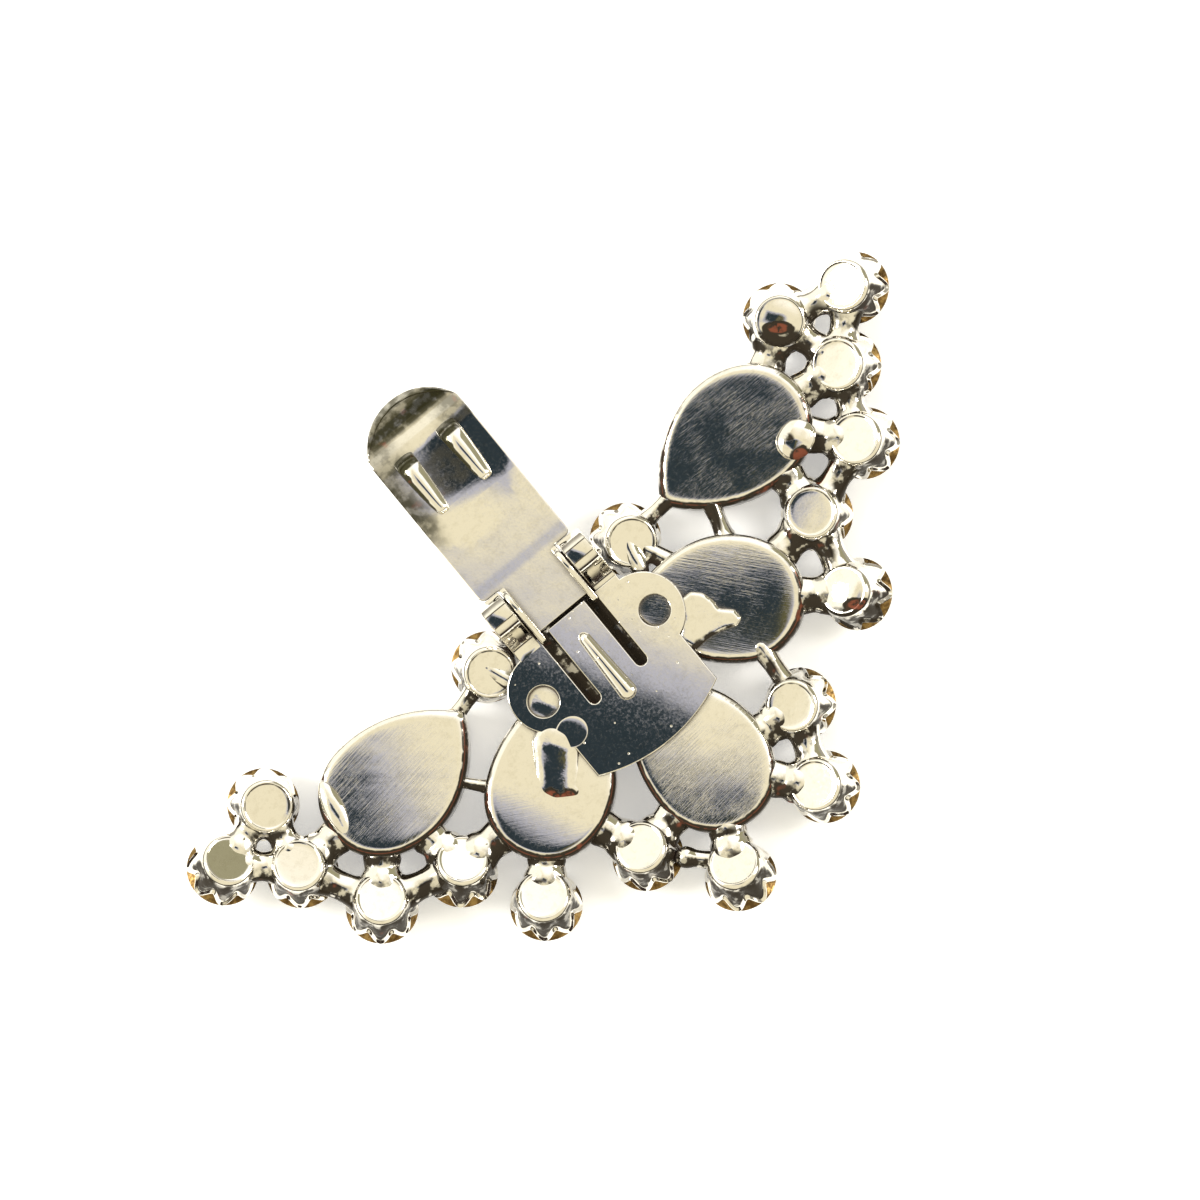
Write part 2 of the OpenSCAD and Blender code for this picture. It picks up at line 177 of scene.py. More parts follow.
def swell(height, reach):
    """Lifts what is selected, and less and less what lies within reach of it."""
    bpy.ops.transform.translate(value=(0, 0, height), use_proportional_edit=True,
                                proportional_edit_falloff="INVERSE_SQUARE",
                                proportional_size=reach)


def share_of(value, start, full):
    """How far a value is from the start to where its share is full, from 0 to 1."""
    return min(1, max(0, (value - start) / (full - start)))


def apply_modifier(piece, kind, **settings):
    select_only(piece)
    modifier = piece.modifiers.new(kind.lower(), kind)
    for setting, value in settings.items():
        setattr(modifier, setting, value)
    bpy.ops.object.modifier_apply(modifier=modifier.name)


def tidy(piece, distance=0.002):
    """Merges doubles and turns every face outwards."""
    edit(piece, pick_all=True)
    bpy.ops.mesh.remove_doubles(threshold=distance)
    bpy.ops.mesh.normals_make_consistent(inside=False)
    object_mode()


def place(piece, matrix, smooth=40):
    """Puts a piece that was modelled in millimetres in its place, in metres."""
    piece.matrix_world = Matrix.Scale(MM, 4) @ matrix
    apply_place(piece)
    bpy.ops.object.shade_smooth_by_angle(angle=math.radians(smooth))
    return piece


def place_sheet(piece, matrix):
    """Places a bent sheet, whose broad faces are shaded apart from their rounded edges."""
    place(piece, matrix, smooth=10)
    apply_modifier(piece, "WEIGHTED_NORMAL", mode="FACE_AREA", weight=100, keep_sharp=True)


def copy_of(piece, name):
    select_only(piece)
    bpy.ops.object.duplicate(linked=False)
    return named(name)


def join(pieces, name):
    object_mode()
    bpy.ops.object.select_all(action="DESELECT")
    for piece in pieces:
        piece.select_set(True)
    bpy.context.view_layer.objects.active = pieces[0]
    bpy.ops.object.join()
    return named(name)


def paint_tarnish_and_shade(piece, tarnish_and_shade_at):
    """Stores how much tarnishing and painted shade a piece carries at each vertex, from 0 up,
    for its metal to read.
    """
    layers = piece.data.attributes
    layer = layers.get("tarnish_and_shade") or layers.new("tarnish_and_shade", "FLOAT", "POINT")
    for vertex, amount in zip(piece.data.vertices, layer.data):
        amount.value = tarnish_and_shade_at(vertex.co)


def lean_back(piece, lowest_z, centre, toward, angle):
    """Tilts what is above a height, so that its face leans towards a direction."""
    edit(piece)
    for axis, share in (("X", toward.y), ("Y", -toward.x)):
        pick(piece, lambda p: p.z > lowest_z)
        bpy.ops.transform.rotate(value=math.radians(angle) * share, orient_axis=axis,
                                 center_override=centre)
    object_mode()


def drawing(x, y, z=0.0):
    """A point of the chevron's drawing, in the frame, in millimetres."""
    return Vector((x + DRAWING_X, y + DRAWING_Y, z))


# Places read from the frame


def node_points(node):
    """The different corners of a CAD node, in millimetres."""
    corners = {tuple(round(c / MM, 3) for c in v.co) for v in frame["nodes"][node].data.vertices}
    return [Vector(corner) for corner in sorted(corners)]


def mean(points):
    return sum(points, Vector()) / len(points)


def nearest_row(rows, height):
    """The profile row whose height, its second number, is nearest."""
    return min(rows, key=lambda row: abs(row[1] - height))


def cup_place(number):
    """Where a round cup's rim centre is and how it is turned, from its stone."""
    points = node_points(f"round_stone_{number:02d}")
    culet = max(points, key=lambda p: p.z)
    axis = (culet - mean(points)).normalized()
    culet_above_rim = 2.16
    rim = culet - culet_above_rim * axis
    turn = Vector((0, 0, 1)).rotation_difference(axis)
    return Matrix.Translation(rim) @ turn.to_matrix().to_4x4()


def pear_place(number):
    """Where a pear cup's round end is centred and how it is turned, from its stone."""
    points = node_points(f"pear_stone_{number}")
    keel = max(points, key=lambda p: p.z)
    keel_from_centre = 0.9
    girdle_z = 1.1
    girdle = [p for p in points if abs(p.z - girdle_z) < 0.05]
    tip = max(girdle, key=lambda p: (p - keel).xy.length)
    point_way = (tip - keel).xy.normalized()
    centre = keel.xy - keel_from_centre * point_way
    turn = math.atan2(point_way.y, point_way.x) - math.pi / 2
    rim_z = 1.0
    return Matrix.Translation((centre.x, centre.y, rim_z)) @ Matrix.Rotation(turn, 4, "Z")


def clip_place():
    """The clip's own frame: the middle of the hinge line, with X along it."""
    hinge = frame["joints"][0]
    middle = Vector(hinge["pos_m"]) / MM
    turn = math.atan2(hinge["axis"][1], hinge["axis"][0])
    return Matrix.Translation(middle) @ Matrix.Rotation(turn, 4, "Z")


# The camera


def add_camera():
    away = Vector((0, -math.sin(VIEW_LEAN), math.cos(VIEW_LEAN)))
    up = (VIEW_UP - VIEW_UP.dot(away) * away).normalized()
    right = up.cross(away)
    place_m = (VIEW_MIDDLE + VIEW_DISTANCE * away) * MM
    bpy.ops.object.camera_add(location=place_m)
    camera = bpy.context.object
    camera.rotation_euler = Matrix((right, up, away)).transposed().to_euler()
    camera.data.lens = camera.data.sensor_width * VIEW_DISTANCE / VIEW_WIDTH
    camera.data.clip_start = 0.01
    camera.data.clip_end = 5
    bpy.context.scene.camera = camera


# Materials


class Nodes:
    """A node tree, and the sums that its patterns are made of."""

    def __init__(self, owner):
        owner.use_nodes = True
        self.tree = owner.node_tree

    def node(self, kind, **settings):
        made = self.tree.nodes.new("ShaderNode" + kind)
        for setting, value in settings.items():
            setattr(made, setting, value)
        return made

    def feed(self, node, inputs):
        """Gives inputs, by name or number, a plain value or another node's output."""
        for socket, value in inputs.items():
            if isinstance(value, bpy.types.NodeSocket):
                self.tree.links.new(value, node.inputs[socket])
            else:
                node.inputs[socket].default_value = value

    def ramp(self, value, low, high, to_low=0.0, to_high=1.0):
        limits = self.node("MapRange", interpolation_type="SMOOTHSTEP")
        self.feed(limits, {"Value": value, "From Min": low, "From Max": high,
                           "To Min": to_low, "To Max": to_high})
        return limits.outputs["Result"]

    def mix(self, factor, first, second):
        """Blends two colours, each a plain one or another node's output."""
        blend = self.node("Mix", data_type="RGBA")
        first, second = [(*c, 1) if isinstance(c, tuple) else c for c in (first, second)]
        self.feed(blend, {"Factor": factor, 6: first, 7: second})
        return blend.outputs[2]

    def total(self, values):
        result = values[0]
        for value in values[1:]:
            both = self.node("Math", operation="ADD")
            self.feed(both, {0: result, 1: value})
            result = both.outputs[0]
        return result

    def times(self, value, factor):
        product = self.node("Math", operation="MULTIPLY")
        self.feed(product, {0: value, 1: factor})
        return product.outputs[0]

    def along(self, way, direction):
        """How far a vector goes along a direction."""
        dot = self.node("VectorMath", operation="DOT_PRODUCT")
        self.feed(dot, {0: way, 1: direction})
        return dot.outputs["Value"]


class Shader(Nodes):
    """A material, with its patterns measured in millimetres."""

    def __init__(self, name):
        self.material = bpy.data.materials.new(name)
        super().__init__(self.material)
        self.surface = self.tree.nodes["Principled BSDF"]
        coordinates = self.node("TexCoord")
        self.place = coordinates.outputs["Object"]
        self.facing = coordinates.outputs["Normal"]

    def mapped(self, scale=(1, 1, 1), turn=0.0):
        """Object coordinates in millimetres, turned about Z and then stretched."""
        turned = self.node("Mapping")
        self.feed(turned, {"Vector": self.place, "Rotation": (0, 0, turn),
                           "Scale": (1 / MM, 1 / MM, 1 / MM)})
        stretched = self.node("Mapping")
        self.feed(stretched, {"Vector": turned.outputs["Vector"], "Scale": scale})
        return stretched.outputs["Vector"]

    def noise(self, vector, scale, detail=2.0, rough=0.5):
        texture = self.node("TexNoise")
        self.feed(texture, {"Vector": vector, "Scale": scale, "Detail": detail,
                            "Roughness": rough})
        return texture.outputs["Fac"]

    def relief(self, heights_mm):
        """A bump whose heights are in millimetres."""
        bump = self.node("Bump")
        self.feed(bump, {"Distance": MM, "Height": heights_mm})
        self.feed(self.surface, {"Normal": bump.outputs["Normal"]})

    def crevices(self, reach_mm):
        """1 on open surfaces and 0 deep in corners."""
        shade = self.node("AmbientOcclusion", samples=6)
        self.feed(shade, {"Distance": reach_mm * MM})
        return shade.outputs["AO"]

    def foil(self, surface, dark, light, smooth, rough):
        """Patchy metal foil, between two colours and two values of roughness."""
        even = self.mapped()
        patchy = self.ramp(self.noise(even, 2.2, 3.0), 0.35, 0.7)
        uneven = self.ramp(self.noise(even, 6.0, 3.0), 0.3, 0.7, smooth, rough)
        self.feed(surface, {"Base Color": self.mix(patchy, dark, light),
                            "Roughness": uneven, "Metallic": 1.0})


SILVER = (0.86, 0.83, 0.76)
DULL_SILVER = (0.62, 0.58, 0.48)
# Dark brown for grime and for painted shade in corners
GRIME_AND_SHADE = (0.055, 0.038, 0.030)
# Brown for tarnishing and for painted shade
TARNISH_AND_SHADE = (0.031, 0.025, 0.018)
RUST = (0.17, 0.055, 0.032)
# Olive for the lever's tarnishing and painted shade
OLIVE_TARNISH_AND_SHADE = (0.042, 0.039, 0.018)


def plated_metal(name, grain=1.0, brushing=(0, 0), specks=0.0, least_tarnish_and_shade=0.4,
                 least_side_shade=0.1, tarnish_and_shade=TARNISH_AND_SHADE):
    """Polished silver-tone plating: uneven and brushed, darkened in corners by grime and painted
    shade, and in places by tarnishing and painted shade.

    Brushing is its direction in radians and its depth. Where the piece is darkened
    comes from its tarnish attribute, which holds both tarnishing and painted shade. It is
    painted shade too that the darkening is strongest on the faces that look down in the
    photograph's view, with the share least_side_shade of it on the opposite ones; near 2 it
    turns to rust. The darkening is blotchy, and least_tarnish_and_shade is its share between
    blotches.
    """
    shader = Shader(name)
    even = shader.mapped()
    waviness = shader.noise(even, 0.35, 1.0)
    fine = shader.noise(even, 5.0, 2.0)
    heights = [shader.times(waviness, 0.03 * grain), shader.times(fine, 0.0022 * grain)]
    rough = [shader.ramp(fine, 0.35, 0.75, 0.03, 0.11)]
    turn, depth = brushing
    if depth:
        brushed = shader.noise(shader.mapped((0.35, 6.5, 0.35), turn), 1.0, 3.0, 0.7)
        either_way = shader.ramp(brushed, 0.2, 0.8, -0.5, 0.5)
        patch = shader.ramp(waviness, 0.36, 0.58, 0.5, 1.0)
        heights.append(shader.times(shader.times(either_way, patch), 0.004 * depth))
        rough.append(shader.times(patch, 0.02 * depth))
    if specks:
        dots = shader.node("TexVoronoi")
        shader.feed(dots, {"Vector": even, "Scale": 1.0})
        pits = shader.ramp(dots.outputs["Distance"], 0.05, 0.10, 1.0, 0.0)
        heights.append(shader.times(pits, -0.02 * specks))
    shader.relief(shader.total(heights))
    # Painted shade: faces that look down in the view are darkened more than those that look up
    looks_down = shader.along(shader.facing, -VIEW_UP)
    side_shade = shader.ramp(looks_down, -0.3, 0.25, least_side_shade, 1.0)
    stain_and_shade = shader.node("Attribute", attribute_name="tarnish_and_shade").outputs["Fac"]
    blotches = shader.ramp(shader.noise(even, 1.3, 3.0), 0.36, 0.6, least_tarnish_and_shade, 1.0)
    tarnished_and_shaded = shader.times(shader.times(stain_and_shade, side_shade), blotches)
    broken = shader.ramp(shader.noise(even, 2.0, 3.0), 0.36, 0.52)
    rusty = [shader.ramp(shader.noise(even, 0.8, 2.0), 0.63, 0.80),
             shader.times(shader.ramp(stain_and_shade, 1.8, 2.5), broken)]
    brown = shader.mix(shader.total(rusty), tarnish_and_shade, RUST)
    dull = shader.ramp(shader.noise(even, 1.6, 4.0, 0.65), 0.46, 0.72, 0.0, 0.3)
    covered = shader.ramp(tarnished_and_shaded, 0.1, 0.55)
    plating = shader.mix(covered, shader.mix(dull, SILVER, DULL_SILVER), brown)
    # Grime and painted shade: where ambient occlusion is low, in corners, the metal is darkened
    # to dark brown and loses its shine
    open_metal = shader.ramp(shader.crevices(0.9), 0.30, 0.78)
    worn = shader.ramp(open_metal, 0.2, 0.8, 0.18, 0.0)
    clean = shader.ramp(tarnished_and_shaded, 0.25, 0.8, 1.0, 0.08)
    bare = shader.times(clean, shader.ramp(open_metal, 0.0, 0.6))
    shader.feed(shader.surface, {
        "Base Color": shader.mix(open_metal, GRIME_AND_SHADE, plating),
        "Roughness": shader.total([*rough, worn]),
        "Metallic": bare,
        "Specular IOR Level": shader.times(bare, 0.5)})
    return shader.material


def bronze_foil():
    """The dull gold-brown foil behind the stones."""
    shader = Shader("bronze_foil")
    shader.foil(shader.surface, (0.11, 0.065, 0.024), (0.33, 0.215, 0.08), 0.25, 0.5)
    shader.relief(shader.times(shader.noise(shader.mapped(), 3.0), 0.02))
    return shader.material


def foiled_crystal():
    """Clear cut crystal whose back facets carry a bronze-gold foil."""
    shader = Shader("foiled_crystal")
    glass = shader.surface
    shader.feed(glass, {
        "Base Color": (0.97, 0.98, 1.0, 1),
        "Transmission Weight": 1.0,
        "IOR": 1.56,
        "Roughness": shader.ramp(shader.noise(shader.mapped(), 3.0), 0.3, 0.8, 0.0, 0.03)})
    foil = shader.node("BsdfPrincipled")
    shader.foil(foil, (0.36, 0.20, 0.06), (0.62, 0.40, 0.13), 0.18, 0.4)
    behind = shader.ramp(shader.along(shader.facing, (0, 0, 1)), 0.1, 0.2)
    both = shader.node("MixShader")
    shader.feed(both, {0: behind, 1: glass.outputs["BSDF"], 2: foil.outputs["BSDF"]})
    shader.feed(shader.tree.nodes["Material Output"], {"Surface": both.outputs["Shader"]})
    return shader.material


def pale_floor():
    shader = Shader("pale_floor")
    shade = shader.ramp(shader.noise(shader.mapped(), 0.02, 2.0), 0.3, 0.7)
    shader.feed(shader.surface, {
        "Base Color": shader.mix(shade, (0.93, 0.93, 0.93), (0.95, 0.95, 0.95)),
        "Roughness": 0.6,
        "Emission Color": (1, 1, 1, 1),
        "Emission Strength": 0.35})
    return shader.material


# Round cups


def add_rings(rows, centre=(0, 0)):
    """Extrudes the selected ring through rows that begin with its size and height."""
    size, height = rows[0][:2]
    for next_size, next_height, *_ in rows[1:]:
        bpy.ops.mesh.extrude_region_move(TRANSFORM_OT_translate={"value": (0, 0, 0)})
        share = next_size / size
        resize(share, share, 1, (*centre, 0))
        move(0, 0, next_height - height)
        size, height = next_size, next_height


def wave_share(steps_from_gap):
    """How much of the full lift a point takes, by its steps from the middle of a gap."""
    return math.cos(math.pi * steps_from_gap / STEPS_A_WAVE) ** 2


def steps_from_gap(point):
    """Steps round the rim to the nearest gap's middle."""
    step = math.atan2(point.y, point.x) / (2 * math.pi) * WAVES * STEPS_A_WAVE
    past = (round(step) + STEPS_A_WAVE // 2) % STEPS_A_WAVE
    return min(past, STEPS_A_WAVE - past)


def shape_waves(cup):
    """Lifts and draws in the wall between the lobes, so that the rim runs in waves."""
    near = 0.02
    for radius, height, gap_radius, gap_height, _ in CUP_PROFILE:
        if height == gap_height:
            continue
        for steps in range(STEPS_A_WAVE // 2):
            share = wave_share(steps)
            drawn_in = 1 + (gap_radius / radius - 1) * share
            pick(cup, lambda p: abs(p.z - height) < near
                 and abs(p.xy.length - radius) < near and steps_from_gap(p) == steps)
            resize(drawn_in, drawn_in, 1)
            move(0, 0, (gap_height - height) * share)


# Tarnishing and painted shade, from the profile row nearest in height
def cup_tarnish_and_shade(point):
    return nearest_row(CUP_PROFILE, point.z)[-1]


def model_round_cup():
    """One cup, rim down at the origin: flared wavy ribbon, wall, rolled shoulder and back."""
    bpy.ops.mesh.primitive_circle_add(vertices=WAVES * STEPS_A_WAVE, radius=CUP_PROFILE[0][0])
    cup = named("round_cup")
    edit(cup, pick_all=True)
    add_rings(CUP_PROFILE + CUP_BACK)
    bpy.ops.mesh.edge_face_add()
    object_mode()
    paint_tarnish_and_shade(cup, cup_tarnish_and_shade)
    edit(cup)
    shape_waves(cup)
    object_mode()
    tidy(cup)
    apply_modifier(cup, "SOLIDIFY", thickness=CUP_SHEET, offset=-1, use_even_offset=True)
    apply_modifier(cup, "SUBSURF", levels=1, render_levels=1)
    return cup


def bulge_back(cup, height):
    """Pushes the middle of a cup's back outwards."""
    edit(cup)
    pick(cup, lambda p: p.xy.length < 0.25 and p.z > 2.5)
    swell(height, 1.9)
    object_mode()


def paint_dome_shade_and_rust(cup, level):
    """Paints the lower half of a domed back brown as painted shade, with a rusty patch in its
    middle.
    """
    down = level @ -VIEW_UP
    right = level @ VIEW_RIGHT
    back_z = 2.94

    def dome_tarnish_and_shade(point):
        if point.z < back_z:
            return cup_tarnish_and_shade(point)
        below = point.dot(down)
        aside = point.dot(right)
        # Painted shade: the half of the dome that looks down in the view
        brown = share_of(below, 0.9, 1.6)
        rust = 3.4 * max(0, 1 - ((below - 0.95) / 0.6) ** 2 - (aside / 1.3) ** 2)
        return max(brown, rust)

    paint_tarnish_and_shade(cup, dome_tarnish_and_shade)


# Rows are the radius and height above the rim of the foil that backs a round stone
FOIL_PROFILE = [(2.72, 0.03), (2.50, 0.20), (1.40, 1.32), (0.30, 2.42)]


def model_foil_liner():
    """The foil between a round stone and its cup, seen through the gaps of the waves."""
    radius, height = FOIL_PROFILE[0]
    bpy.ops.mesh.primitive_circle_add(vertices=48, radius=radius, location=(0, 0, height))
    foil = named("foil_liner")
    edit(foil, pick_all=True)
    add_rings(FOIL_PROFILE)
    bpy.ops.mesh.edge_face_add()
    bpy.ops.mesh.normals_make_consistent(inside=False)
    apply_place(foil)
    apply_modifier(foil, "SOLIDIFY", thickness=0.03, offset=-1)
    return foil


# Pear cups


# Tarnishing and painted shade, from the profile row nearest in height
def pear_tarnish_and_shade(point):
    return nearest_row(PEAR_PROFILE, point.z)[-1]


def draw_pear(name):
    """A pear's outline, point towards +Y: a circle with its upper half drawn out to a tip."""
    long_arc_r = (PEAR_TIP ** 2 + PEAR_R ** 2) / (2 * PEAR_R)
    long_arc = math.asin(PEAR_TIP / long_arc_r)
    reach = 4 / 3 * math.tan(long_arc / 4) * long_arc_r
    bpy.ops.curve.primitive_bezier_circle_add(radius=PEAR_R)
    outline = named(name)
    outline.data.resolution_u = 16
    for point in outline.data.splines[0].bezier_points:
        point.handle_left_type = point.handle_right_type = "FREE"
        for handle in (point.handle_left, point.handle_right):
            if abs(point.co.x) > 1 and handle.y > 0.1:
                handle.y = reach
        if point.co.y > 1:
            point.co.y = PEAR_TIP
            for side, handle in ((-1, point.handle_left), (1, point.handle_right)):
                handle.x = side * reach * math.sin(long_arc)
                handle.y = PEAR_TIP - reach * math.cos(long_arc)
    select_only(outline)
    bpy.ops.object.convert(target="MESH")
    tidy(outline)
    return named(name)


def model_pear_cup(number, pear):
    """One pear cup, rim down and point towards +Y, with its own crowned, leaning back."""
    cup = draw_pear(f"pear_cup_{number}")
    edit(cup, pick_all=True)
    size = PEAR_PROFILE[0][0]
    centre = Vector((0, PEAR_MIDDLE_Y))
    resize(size, size, 1, (*centre, 0))
    add_rings(PEAR_PROFILE, centre)
    crown_h, bow_h, lean_right, lean_up, _, _ = PEAR_BACKS[number - 1]
    edge, edge_h = PEAR_PROFILE[-1][:2]
    rings = 7
    left_open = 0.3
    shares = [1 - ring / (rings + left_open) for ring in range(rings + 1)]
    add_rings([(edge * share, edge_h + crown_h * (1 - share ** 2)) for share in shares], centre)
    bpy.ops.mesh.edge_face_add()
    object_mode()
    paint_tarnish_and_shade(cup, pear_tarnish_and_shade)
    tidy(cup)
    level = pear.to_3x3().inverted()
    right = level @ VIEW_RIGHT
    up = level @ VIEW_UP
    middle = Vector((0, PEAR_MIDDLE_Y, edge_h))
    if bow_h:
        bow_back(cup, middle, right, bow_h)
    leaning_from = edge_h - 0.7
    lean_back(cup, leaning_from, middle, right, lean_right)
    lean_back(cup, leaning_from, middle, up, lean_up)
    apply_modifier(cup, "SOLIDIFY", thickness=PEAR_SHEET, offset=-1)
    apply_modifier(cup, "SUBSURF", levels=1, render_levels=1)
    return cup


def bow_back(cup, middle, across, height):
    """Bows a pear back along its middle line, so that it falls away to both sides."""
    edit(cup)
    pick(cup, lambda p: p.z > middle.z - 0.03 and abs((p - middle).dot(across)) < 0.3)
    swell(height, 4.4)
    object_mode()


# Solder

# Rows are both ends of a run of solder in the drawing, its radius at both ends and in
# the middle, and how flat it lies
SOLDER_RUNS = [
    (21.35, 1.45, 4.55, 21.9, 1.55, 4.55, 1.45, 1.5, 1.45, 0.42),
    (-22.0, 7.0, 4.45, -23.1, 3.4, 4.45, 0.45, 0.95, 0.5, 0.6),
    (12.7, -0.3, 3.4, 13.7, 2.4, 3.4, 0.9, 0.7, 0.8, 1.0),
    (-14.7, 0.6, 3.4, -13.2, -1.4, 3.4, 0.7, 0.5, 0.6, 1.0),
    (7.2, 5.0, 3.7, 6.4, 2.4, 3.7, 1.0, 0.9, 0.7, 0.9),
    (-7.0, 5.0, 3.7, -6.3, 2.6, 3.7, 1.0, 0.9, 0.7, 0.9),
    (7.2, 5.0, 3.5, 8.6, 0.9, 3.5, 1.0, 0.8, 0.9, 0.9),
    (9.0, 4.9, 3.4, 12.0, 4.9, 3.4, 0.9, 0.7, 0.9, 0.9),
    (-8.5, 4.6, 3.4, -11.6, 4.0, 3.4, 0.9, 0.7, 0.9, 0.9),
    (8.4, -12.0, 3.5, 9.0, -8.0, 3.5, 1.1, 0.8, 1.0, 0.9),
    (-5.9, -15.6, 3.4, -4.6, -17.2, 3.4, 0.9, 0.7, 0.8, 0.9),
]
# A bed of solder under the middle of the plate, in the same way, darkened all over as painted
# shade for the shadow under the plate
SHADED_BED_RUNS = [
    (-3.0, 4.9, 3.6, -2.6, -3.8, 3.6, 2.0, 2.0, 2.0, 0.3),
    (2.6, 4.9, 3.6, 2.0, -3.8, 3.6, 2.0, 2.0, 2.0, 0.3),
    (-1.5, 4.7, 3.6, 1.5, 4.7, 3.6, 1.6, 1.6, 1.6, 0.3),
]
# Broad, shallow pools, in the same way
SHALLOW_RUNS = [
    (-7.2, -2.8, 4.70, -9.3, -5.2, 4.52, 1.9, 1.8, 1.9, 0.2),
    (-10.5, -4.7, 4.60, -8.7, -6.4, 4.60, 1.0, 1.2, 1.0, 0.22),
    (-5.66, 0.16, 4.38, -5.5, -0.3, 4.38, 1.7, 1.7, 1.7, 0.16),
]
# The tongue of solder at the plate's right edge: its outline in the drawing, the height
# of its upper face, its thickness and how it leans towards the photograph's upper edge
TONGUE_OUTLINE = [(6.9, -1.3), (8.0, -1.4), (8.6, -2.1), (8.8, -3.0), (8.7, -3.8),
                  (9.5, -4.7), (9.4, -5.5), (8.8, -5.7), (7.8, -5.2), (6.6, -4.9),
                  (5.3, -4.9), (4.9, -3.5), (6.1, -2.6)]
TONGUE_TOP = 5.06
TONGUE_T = 0.5
TONGUE_LEAN = 1.2
# Stained places on the solder: the place in the drawing, the reach and the tarnish
SOLDER_STAINS = [
    (21.2, 1.9, 0.6, 1.6),
    (21.0, 0.3, 0.9, 3.6),
    (-10.3, -5.6, 1.1, 3.6),
    (-9.3, -6.4, 0.9, 3.6),
    (-8.2, -6.8, 0.5, 3.0),
    (6.6, -5.3, 1.0, 1.6),
    (7.9, -5.8, 0.9, 1.6),
    (5.7, -5.0, 0.8, 1.6),
]
# Cups nearer to each other than this are soldered together
NECK_REACH = 1.12
# Webs between two round cups, and from a round cup to a pear cup: the radius at both
# ends and in the middle, and how flat they lie
ROUND_WEB = (1.45, 1.15, 1.45, 0.8)
PEAR_WEB = (1.75, 1.4, 1.55, 0.72)


def bead_run(start, end, r_start, r_middle, r_end, flat):
    """A string of overlapping beads between two points, thinner or thicker in its middle."""
    spacing = 0.3
    count = max(4, math.ceil((end - start).length / spacing))
    beads = []
    for i in range(count + 1):
        share = i / count
        near = 4 * share * (1 - share)
        ends = r_start + (r_end - r_start) * share
        bpy.ops.mesh.primitive_ico_sphere_add(
            subdivisions=2, radius=ends + (r_middle - ends) * near,
            location=start.lerp(end, share), scale=(1, 1, flat))
        beads.append(bpy.context.object)
    return beads


def melt(beads, name, grain=0.13, flow=6):
    """Melts beads into one smooth solid."""
    lump = join(beads, name)
    apply_place(lump)
    apply_modifier(lump, "REMESH", mode="VOXEL", voxel_size=grain)
    apply_modifier(lump, "SMOOTH", factor=0.6, iterations=flow)
    return lump


def solder_necks(cups, pears):
    """Waisted webs of solder wherever a cup comes near its neighbour."""
    cup_wall_z = 1.55
    cup_inside = 1.6
    cup_reach = 2.85
    pear_wall_z = 2.3
    pear_inside = PEAR_R - 0.3
    ends = [(cup @ Vector((0, 0, cup_wall_z)), cup_inside, cup_reach, cup.translation)
            for cup in cups]
    ends += [(pear @ Vector((0, 0, pear_wall_z)), pear_inside, PEAR_R, pear.translation)
             for pear in pears]
    beads = []
    for i, (a, inside_a, reach_a, rim_a) in enumerate(ends[:len(cups)]):
        for b, inside_b, reach_b, rim_b in ends[i + 1:]:
            gap = (rim_a - rim_b).xy.length - reach_a - reach_b
            if gap < NECK_REACH:
                along = (b - a).normalized()
                web = ROUND_WEB if reach_b == cup_reach else PEAR_WEB
                beads += bead_run(a + inside_a * along, b - inside_b * along, *web)
    necks = melt(beads, "solder_necks")
    # Painted shade: the webs are darker lower down, between the cups
    paint_tarnish_and_shade(necks, lambda p: share_of(p.z, 5.0, 4.2))
    return necks


def solder_tongue():
    """The tongue that the solder left beside the plate, flat on top."""
    outline = [drawing(*corner).xy for corner in TONGUE_OUTLINE]
    tongue = sheet_piece("solder_tongue", [outline], TONGUE_T, 0.1)
    edit(tongue, pick_all=True)
    move(0, 0, TONGUE_TOP - TONGUE_T)
    object_mode()
    middle = mean([drawing(*corner, TONGUE_TOP) for corner in TONGUE_OUTLINE])
    lean_back(tongue, 0, middle, VIEW_UP, TONGUE_LEAN)
    return melt([tongue], "solder_tongue")


def solder_tarnish_and_shade(point):
    """Painted shade low down between the cups, and real tarnishing and rust in the places that
    are known to carry them.
    """
    amounts = [share_of(point.z, 4.5, 4.1)]
    for x, y, reach, tarnish_and_shade in SOLDER_STAINS:
        off = (point - drawing(x, y)).xy.length / reach
        amounts.append(tarnish_and_shade * max(0, 1 - off ** 2))
    return max(amounts)


def bead_runs(rows):
    """The beads of the runs in a table."""
    beads = []
    for x1, y1, z1, x2, y2, z2, *sizes in rows:
        beads += bead_run(drawing(x1, y1, z1), drawing(x2, y2, z2), *sizes)
    return beads


def shaded_solder_bed():
    """The bed of solder under the plate, darkened all over as painted shade."""
    bed = melt(bead_runs(SHADED_BED_RUNS), "shaded_solder_bed")
    # Painted shade all over
    paint_tarnish_and_shade(bed, lambda p: 1.6)
    return bed


def solder_pools():
    """Runs and pools of solder between the cups, on the pear backs and round the clip."""
    lumps = [melt(bead_runs(SOLDER_RUNS), "solder_runs"),
             melt(bead_runs(SHALLOW_RUNS), "shallow_runs", grain=0.1, flow=25),
             solder_tongue()]
    pools = join(lumps, "solder_pools")
    paint_tarnish_and_shade(pools, solder_tarnish_and_shade)
    return pools


# The clip's sheet metal, in the clip's own frame


def arc(centre, radius, start, end, steps):
    """Points along an arc, angles in degrees."""
    angles = [math.radians(start + (end - start) * i / steps) for i in range(steps + 1)]
    return [(centre[0] + radius * math.cos(a), centre[1] + radius * math.sin(a)) for a in angles]


def mirrored(points):
    """A half outline given from the middle line, made whole by its mirror image."""
    return points + [(-x, y) for x, y in reversed(points)]


